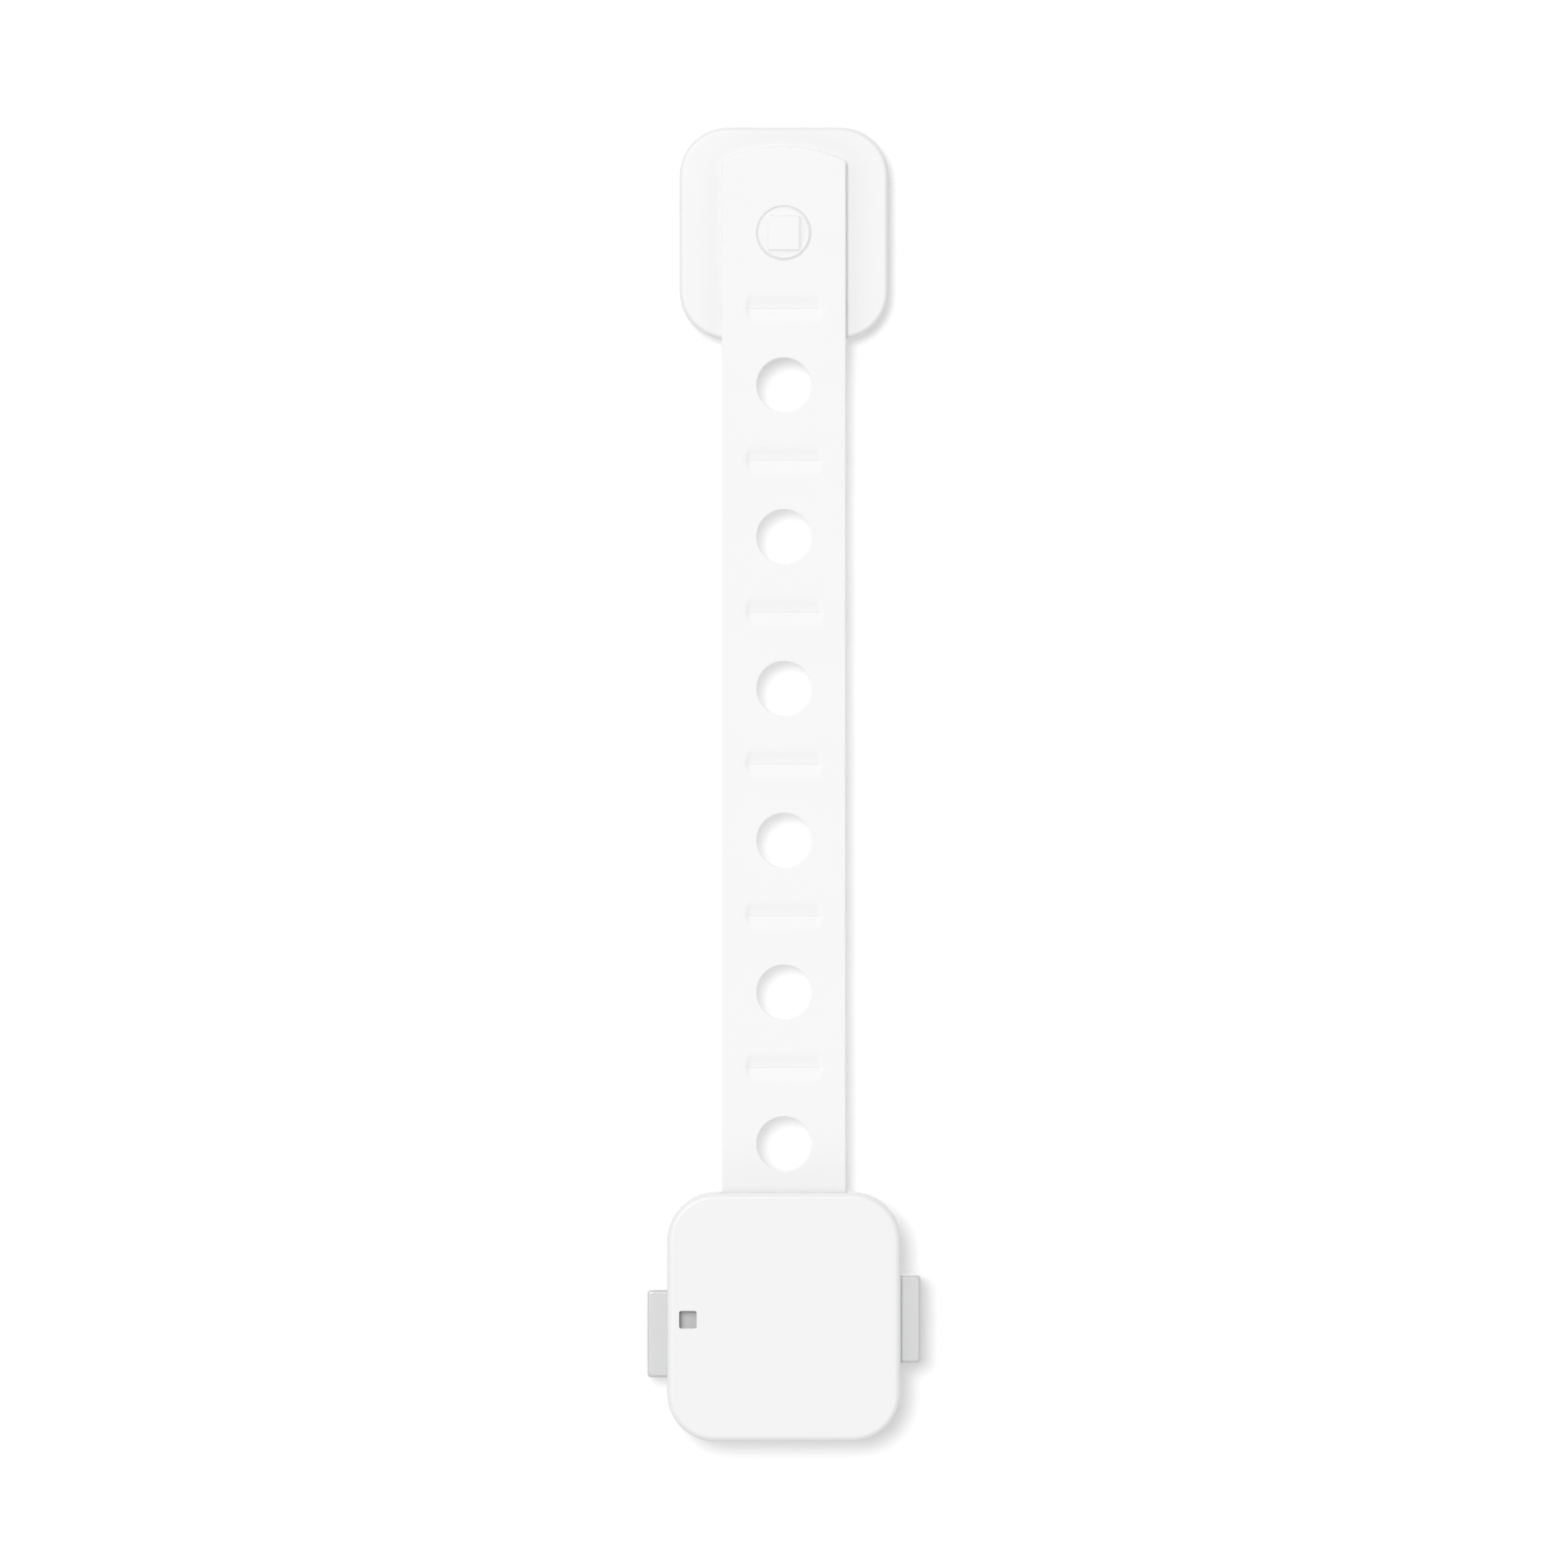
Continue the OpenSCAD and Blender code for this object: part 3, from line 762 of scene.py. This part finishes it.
def round_edge(radius):
    """(outward, z) pairs round an edge of the strap, from its top face to its bottom face."""
    turn = [math.pi / 2 * i / ARC for i in range(ARC + 1)]
    pairs = [(radius * math.sin(a), STRAP_HALF_T - radius * (1 - math.cos(a))) for a in turn]
    return pairs + [(o, -z) for o, z in reversed(pairs)]


class StrapMesh:
    """Collects the faces of one strap length. Points that meet are welded at the end."""

    def __init__(self):
        self.bm = bmesh.new()

    def grid(self, rows):
        """Quads over a grid of points, given as rows of equal length."""
        made = [[self.bm.verts.new(p) for p in row] for row in rows]
        for a, b in zip(made, made[1:]):
            for i in range(len(a) - 1):
                self.bm.faces.new((a[i], a[i + 1], b[i + 1], b[i]))

    def cap(self, points):
        self.bm.faces.new([self.bm.verts.new(p) for p in points])

    def band(self, boundary, normals):
        """Rounded edge along an outline of (x, y) points with outward normals."""
        self.grid([[(x + nx * out, y + ny * out, z) for (x, y), (nx, ny) in zip(boundary, normals)]
                   for out, z in round_edge(EDGE_R)])

    def fan(self, centre_y, boundary):
        """Both faces between a half hole and an outline, and the hole's wall."""
        start_r = HOLE_R + HOLE_EDGE_R
        directions = []
        for x, y in boundary:
            d = math.hypot(x, y - centre_y)
            directions.append((x / d, (y - centre_y) / d))
        for z in (STRAP_HALF_T, -STRAP_HALF_T):
            rows = []
            for k in range(FAN_RINGS + 1):
                t = (k / FAN_RINGS) ** FAN_SPREAD
                rows.append([(dx * start_r + (x - dx * start_r) * t,
                              centre_y + dy * start_r + (y - centre_y - dy * start_r) * t, z)
                             for (x, y), (dx, dy) in zip(boundary, directions)])
            self.grid(rows)
        self.grid([[(dx * (start_r - inward), centre_y + dy * (start_r - inward), z)
                    for dx, dy in directions] for inward, z in round_edge(HOLE_EDGE_R)])

    def half_cap(self, side, y):
        """Cut face beside a hole, on the line through its centre."""
        edge = [(side * (STRAP_HALF_W - EDGE_R + out), y, z) for out, z in round_edge(EDGE_R)]
        wall = [(side * (HOLE_R + HOLE_EDGE_R - inward), y, z)
                for inward, z in reversed(round_edge(HOLE_EDGE_R))]
        inner, start = STRAP_HALF_W - EDGE_R, HOLE_R + HOLE_EDGE_R
        shares = [(k / FAN_RINGS) ** FAN_SPREAD for k in range(1, FAN_RINGS)]
        between = [start + (inner - start) * share for share in shares]
        top = [(side * x, y, STRAP_HALF_T) for x in between]
        bottom = [(side * x, y, -STRAP_HALF_T) for x in reversed(between)]
        self.cap(top + edge + bottom + wall)


def fan_outline(centre_y, direction):
    """Outline of the mesh fan round a half hole: up one side, across, and down the other."""
    inner = STRAP_HALF_W - EDGE_R
    sides = spaced(0, FAN_SPAN, SIDE_STEP)
    right = [(inner, centre_y + direction * s) for s in sides]
    across = [(x, centre_y + direction * FAN_SPAN) for x in reversed(strap_columns())][1:-1]
    left = [(-inner, centre_y + direction * s) for s in reversed(sides)]
    return right, across, left


def middle_rows(low, high, bend):
    """Y of the mesh rows between two fans, closer together at the cross mark."""
    rows = spaced(low, bend - MARK_BEHIND, ROW_STEP)
    rows += spaced(bend - MARK_BEHIND, bend - CREASE_ROWS, MARK_ROW_STEP)[1:]
    rows += spaced(bend - CREASE_ROWS, bend + CREASE_ROWS, CREASE_ROW_STEP)[1:]
    rows += spaced(bend + CREASE_ROWS, bend + MARK_AHEAD, MARK_ROW_STEP)[1:]
    rows += spaced(bend + MARK_AHEAD, high, ROW_STEP)[1:]
    return rows


def add_fan(mesh, centre_y, direction):
    right, across, left = fan_outline(centre_y, direction)
    mesh.fan(centre_y, right + across + left)
    mesh.band(right, [(1, 0)] * len(right))
    mesh.band(left, [(-1, 0)] * len(left))
    for side in (-1, 1):
        mesh.half_cap(side, centre_y)


def add_middle(mesh, rows):
    """The plain stretch between two fans."""
    inner = STRAP_HALF_W - EDGE_R
    for z in (STRAP_HALF_T, -STRAP_HALF_T):
        mesh.grid([[(x, y, z) for x in strap_columns()] for y in rows])
    for side in (-1, 1):
        mesh.band([(side * inner, y) for y in rows], [(side, 0)] * len(rows))


def strap_object(name, mesh, node, cutters=()):
    """The finished strap piece that stands for a CAD node. It has no body yet."""
    bmesh.ops.remove_doubles(mesh.bm, verts=mesh.bm.verts, dist=WELD)
    shape_strap(mesh.bm)
    obj = to_object(name, mesh.bm, materials["strap"])
    cut(obj, cutters)
    finish_shading(obj, 45)
    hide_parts(node)
    return obj


def bend_between(obj):
    """Bakes the piece's placement into its mesh."""
    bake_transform(obj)


def strap_between_holes(k):
    """Strap from the centre of hole k to the centre of hole k + 1, with a cross mark in the middle."""
    low, high, bend = HOLE_Y[k - 1], HOLE_Y[k], BEND_Y[k]
    mesh = StrapMesh()
    add_fan(mesh, low, 1)
    add_middle(mesh, middle_rows(low + FAN_SPAN, high - FAN_SPAN, bend))
    add_fan(mesh, high, -1)
    obj = strap_object(f"strap_length_{k}", mesh, f"strap_section_{k}")
    bend_between(obj)


def rivet_holes():
    low, high = box_mm("tongue_rivets")
    x, y = high.x - (high.y - low.y) / 2, (low.y + high.y) / 2
    return [cylinder("rivet_hole", (side * x, y), RIVET_HOLE_R,
                     STRAP_LOW.z - OVER, STRAP_HIGH.z + OVER) for side in (-1, 1)]


def strap_root():
    """Strap from its end inside the latch to the first hole, with finer rows near the mouth."""
    low, high, bend = ROOT_Y, HOLE_Y[0], BEND_Y[0]
    mesh = StrapMesh()
    add_fan(mesh, high, -1)
    curve_from = bend - 2
    add_middle(mesh, spaced(low, curve_from, 1.2) + spaced(curve_from, high - FAN_SPAN, 0.3)[1:])
    profile = round_edge(EDGE_R)
    inner = STRAP_HALF_W - EDGE_R
    columns = strap_columns()
    outline = [(inner + out, low, z) for out, z in profile]
    outline += [(x, low, -STRAP_HALF_T) for x in reversed(columns[1:-1])]
    outline += [(-inner - out, low, z) for out, z in reversed(profile)]
    outline += [(x, low, STRAP_HALF_T) for x in columns[1:-1]]
    mesh.cap(outline)
    obj = strap_object("strap_length_0", mesh, "strap_root", rivet_holes())
    bend_between(obj)


def strap_tip():
    """Strap beyond the peg: straight sides, small round corners and an arc across the end."""
    centre = HOLE_Y[-1]
    arc_y = TIP_Y - TIP_ARC_R
    # centre of the small corner arc: inside both the side and the big arc by its radius
    cx = STRAP_HALF_W - TIP_CORNER_R
    cy = arc_y + math.sqrt((TIP_ARC_R - TIP_CORNER_R) ** 2 - cx ** 2)
    turn_end = math.atan2(cy - arc_y, cx)
    points, normals = [], []
    for y in spaced(centre, cy, SIDE_STEP):
        points.append((STRAP_HALF_W, y))
        normals.append((1.0, 0.0))
    for i in range(1, 9):
        a = turn_end * i / 8
        points.append((cx + TIP_CORNER_R * math.cos(a), cy + TIP_CORNER_R * math.sin(a)))
        normals.append((math.cos(a), math.sin(a)))
    for i in range(1, 20):
        a = turn_end + (math.pi / 2 - turn_end) * i / 20
        points.append((TIP_ARC_R * math.cos(a), arc_y + TIP_ARC_R * math.sin(a)))
        normals.append((math.cos(a), math.sin(a)))
    outline = points + [(0.0, TIP_Y)] + [(-x, y) for x, y in reversed(points)]
    outward = normals + [(0.0, 1.0)] + [(-nx, ny) for nx, ny in reversed(normals)]
    inset = [(x - EDGE_R * nx, y - EDGE_R * ny) for (x, y), (nx, ny) in zip(outline, outward)]
    mesh = StrapMesh()
    mesh.fan(centre, inset)
    mesh.band(inset, outward)
    for side in (-1, 1):
        mesh.half_cap(side, centre)
    obj = strap_object("strap_length_7", mesh, "strap_section_7")
    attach(obj, "strap_7")


# ---------------------------------------------------------------- pieces inside the latch

WIRE_R = 0.2
END_PITCH = 0.37         # rise of the springs' close end turns, as a share of the open turns'
END_TURNS, OPENING_TURNS = 0.6, 0.5      # close turns at each end, and turns over which they open
RIVET_HOLE_R, RIVET_R = 1.4, 1.38
RIVET_END_R, RIVET_END_T = 2.0, 0.25
RIVET_RIM = 0.08         # height of the domed heads' straight rim


def softened(node, width, body, slot):
    """A CAD node's shape as its own piece, with its edges softly rounded."""
    bm = bmesh.new()
    bm.from_mesh(frame["nodes"][node].data)
    bmesh.ops.remove_doubles(bm, verts=bm.verts, dist=1e-7)
    bmesh.ops.dissolve_limit(bm, angle_limit=math.radians(0.5), verts=bm.verts, edges=bm.edges)
    bmesh.ops.scale(bm, vec=(1 / MM, 1 / MM, 1 / MM), verts=bm.verts)
    obj = to_object(f"{node}_part", bm, materials[slot])
    soften_edges(obj, width, angle=30, segments=2)
    finish_shading(obj, 35)
    stand_for(obj, node, body)


def coil_spring(side):
    """Return spring of round wire, with close turns at both ends."""
    low, high = box_mm(f"{side}_spring")
    sign = -1 if side == "left" else 1
    y, z = (low.y + high.y) / 2, (low.z + high.z) / 2
    coil_r = (high.z - low.z) / 2 - WIRE_R
    length = high.x - low.x
    turns, steps, sides = 5, 28, 12
    rise = [0.0]
    for i in range(turns * steps):
        t = (i + 0.5) / steps
        start_open = smooth((t - END_TURNS) / OPENING_TURNS)
        end_open = smooth((turns - END_TURNS - t) / OPENING_TURNS)
        rise.append(rise[-1] + END_PITCH + (1 - END_PITCH) * start_open * end_open)
    start = min(abs(low.x), abs(high.x)) + WIRE_R
    scale = (length - 2 * WIRE_R) / rise[-1]
    centres = []
    for i, r in enumerate(rise):
        a = 2 * math.pi * i / steps
        centres.append(Vector((sign * (start + r * scale), y + coil_r * math.cos(a),
                               z + coil_r * math.sin(a))))
    bm = bmesh.new()
    rings = []
    for i, c in enumerate(centres):
        along = (centres[min(i + 1, len(centres) - 1)] - centres[max(i - 1, 0)]).normalized()
        outwards = (c - Vector((c.x, y, z))).normalized()
        outwards = (outwards - along * outwards.dot(along)).normalized()
        across = along.cross(outwards)
        turn = [2 * math.pi * k / sides for k in range(sides)]
        rings.append([bm.verts.new(c + WIRE_R * (math.cos(t) * outwards + math.sin(t) * across))
                      for t in turn])
    loft(bm, rings)
    obj = to_object(f"{side}_coil", bm, materials["steel"])
    finish_shading(obj, 60)
    stand_for(obj, f"{side}_spring", "latch")
    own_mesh(obj)


def tongue_rivets():
    """Two rivets with domed heads above the strap and rolled ends under the tongue's lap."""
    low, high = box_mm("tongue_rivets")
    head_r = (high.y - low.y) / 2
    x, y = high.x - head_r, (low.y + high.y) / 2
    end_top, rim_z = low.z + RIVET_END_T, STRAP_HIGH.z + RIVET_RIM
    # (radius, z) pairs from the dimple in the rolled end to the top of the dome
    profile = [(0.9, low.z + 0.12), (1.0, low.z), (RIVET_END_R - 0.12, low.z),
               (RIVET_END_R, low.z + 0.1), (RIVET_END_R, end_top), (RIVET_R, end_top),
               (RIVET_R, STRAP_HIGH.z), (head_r - 0.05, STRAP_HIGH.z), (head_r, rim_z)]
    for i in range(1, 9):
        a = math.pi / 2 * i / 9
        profile.append((head_r * math.cos(a), rim_z + (high.z - rim_z) * math.sin(a)))
    profile.append((0.05, high.z))
    bm = bmesh.new()
    for side in (-1, 1):
        lathe(bm, profile, (side * x, y))
    obj = to_object("tongue_rivet_pair", bm, materials["steel"])
    finish_shading(obj, 40)
    stand_for(obj, "tongue_rivets", "strap_end")


# ---------------------------------------------------------------- stage

# brightness of the surroundings against height, from straight down (-1) to straight up (1)
SKY = [(-1.0, 0.85), (-0.4, 0.5), (0.0, 0.25), (0.09, 0.42), (0.22, 1.0), (0.42, 1.0),
       (0.6, 0.5), (0.8, 0.25), (1.0, 0.2)]
SKY_STRENGTH = 1.42
SKY_LEAN = -0.12        # below zero, the sky is brighter towards the photo's upper left
KEY_STRENGTH = 1.5
KEY_TILT = 15           # degrees from straight above, towards the upper left
KEY_SIZE = 26           # degrees across
FLOOR_HALF = 6          # metres
FLOOR_GLOW = 0.08
FLOOR_GAP = 0.04        # between the pads and the floor
ANCHOR_REACH = 18       # how far the anchor's ends are from its peg
LENS, SENSOR = 400, 36
VIEW_SPAN = 0.262       # side of the square that the camera sees, in metres


def stage_floor():
    """Pale floor. Only the camera sees it, and only from above, so the underside stays lit."""
    bm = bmesh.new()
    bmesh.ops.create_grid(bm, x_segments=1, y_segments=1, size=FLOOR_HALF)
    mesh = bpy.data.meshes.new("floor")
    bm.to_mesh(mesh)
    bm.free()
    floor = bpy.data.objects.new("floor", mesh)
    bpy.context.scene.collection.objects.link(floor)
    keep_below(floor)
    m = Nodes("floor_paper")
    m.colour(m.noise(3, 2), (0.90, 0.90, 0.90), (0.92, 0.92, 0.92))
    m.set(Roughness=0.9, Specular_IOR_Level=0.1, Emission_Strength=FLOOR_GLOW)
    m.shader.inputs["Emission Color"].default_value = (1, 1, 1, 1)
    seen = m.add("ShaderNodeMath", operation="GREATER_THAN")
    difference = m.add("ShaderNodeMath", operation="SUBTRACT")
    m.link(m.add("ShaderNodeLightPath").outputs["Is Camera Ray"], difference.inputs[0])
    m.link(m.add("ShaderNodeNewGeometry").outputs["Backfacing"], difference.inputs[1])
    m.link(difference.outputs["Value"], seen.inputs[0])
    seen.inputs[1].default_value = 0.5
    mix = m.add("ShaderNodeMixShader")
    m.link(seen.outputs["Value"], mix.inputs["Fac"])
    m.link(m.add("ShaderNodeBsdfTransparent").outputs["BSDF"], mix.inputs[1])
    m.link(m.shader.outputs["BSDF"], mix.inputs[2])
    m.link(mix.outputs["Shader"], m.tree.nodes["Material Output"].inputs["Surface"])
    mesh.materials.append(m.material)


def keep_below(floor):
    """Keeps the floor just under the lowest of a set of points on the object.

    At rest that is the latch's pad. The floor sinks when the strap bends down past it.
    """
    points = [("latch", 0, 0)]
    for k in range(1, 8):
        points += [(f"strap_{k}", BEND_Y[k - 1], z) for z in (STRAP_LOW.z, STRAP_HIGH.z)]
    for y in (ANCHOR_Y - ANCHOR_REACH, ANCHOR_Y + ANCHOR_REACH):
        points += [("strap_7", y, z) for z in (0, PEG_HIGH.z)]
    driver = floor.driver_add("location", 2).driver
    driver.type = "MIN"
    for body, y, z in points:
        probe = bpy.data.objects.new("floor_probe", None)
        probe.location = (0, y * MM, (z - FLOOR_GAP) * MM)
        bpy.context.scene.collection.objects.link(probe)
        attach(probe, body)
        variable = driver.variables.new()
        variable.type = "TRANSFORMS"
        target = variable.targets[0]
        target.id = probe
        target.transform_type = "LOC_Z"
        target.transform_space = "WORLD_SPACE"


def surroundings():
    """Soft light from all round, brightest from a band some way above the horizon."""
    world = bpy.data.worlds.new("studio")
    bpy.context.scene.world = world
    world.use_nodes = True
    tree = world.node_tree
    background = tree.nodes["Background"]
    coords = tree.nodes.new("ShaderNodeTexCoord")
    split = tree.nodes.new("ShaderNodeSeparateXYZ")
    height = tree.nodes.new("ShaderNodeMapRange")
    height.inputs["From Min"].default_value = -1
    ramp = tree.nodes.new("ShaderNodeValToRGB")
    stops = ramp.color_ramp.elements
    stops.remove(stops[1])
    for rise, level in SKY[1:]:
        stops.new((rise + 1) / 2).color = (level, level, level, 1)
    stops[0].position, stops[0].color = 0, (SKY[0][1], SKY[0][1], SKY[0][1], 1)
    tree.links.new(coords.outputs["Generated"], split.inputs[0])
    tree.links.new(split.outputs["Z"], height.inputs["Value"])
    tree.links.new(height.outputs["Result"], ramp.inputs["Fac"])
    tree.links.new(ramp.outputs["Color"], background.inputs["Color"])
    across = tree.nodes.new("ShaderNodeVectorMath")
    across.operation = "DOT_PRODUCT"
    across.inputs[1].default_value = (math.sqrt(0.5), -math.sqrt(0.5), 0)
    lean = tree.nodes.new("ShaderNodeMath")
    lean.operation = "MULTIPLY_ADD"
    lean.inputs[1].default_value = SKY_STRENGTH * SKY_LEAN
    lean.inputs[2].default_value = SKY_STRENGTH
    tree.links.new(coords.outputs["Generated"], across.inputs[0])
    tree.links.new(across.outputs["Value"], lean.inputs[0])
    tree.links.new(lean.outputs["Value"], background.inputs["Strength"])


def key_light():
    """Broad, soft sun from the upper left."""
    sun = bpy.data.lights.new("key", "SUN")
    sun.energy = KEY_STRENGTH
    sun.angle = math.radians(KEY_SIZE)
    key = bpy.data.objects.new("key", sun)
    tilt = math.radians(KEY_TILT)
    sideways = math.sin(tilt) * math.sqrt(0.5)
    towards = Vector((-sideways, sideways, math.cos(tilt)))
    key.rotation_mode = "QUATERNION"
    key.rotation_quaternion = towards.to_track_quat("Z", "Y")
    key.location = (cad_low + cad_high) / 2 + towards
    bpy.context.scene.collection.objects.link(key)


def camera():
    """Long lens straight above, with the strap upright in the picture."""
    data = bpy.data.cameras.new("camera")
    data.sensor_width = SENSOR
    data.lens = LENS
    data.clip_end = 20
    obj = bpy.data.objects.new("camera", data)
    middle = (cad_low + cad_high) / 2
    obj.location = (middle.x, middle.y, VIEW_SPAN * LENS / SENSOR + cad_high.z)
    bpy.context.scene.collection.objects.link(obj)
    bpy.context.scene.camera = obj


latch_cover()
softened("latch_base", 0.12, "latch", "shell")
for side in ("left", "right"):
    side_button(side)
    softened(f"{side}_catch", 0.12, f"{side}_button", "catch")
    coil_spring(side)
softened("strap_tongue", 0.15, "strap_end", "catch")
tongue_rivets()
adhesive_pad("latch_foam", "latch_adhesive", "latch", 0)
adhesive_pad("anchor_foam", "anchor_adhesive", "anchor", ANCHOR_Y)
anchor_plate()
anchor_peg()
strap_root()
for k in range(1, 7):
    strap_between_holes(k)
strap_tip()
stage_floor()
surroundings()
key_light()
camera()

view = bpy.context.scene.view_settings
view.view_transform = "Standard"
view.look = "None"
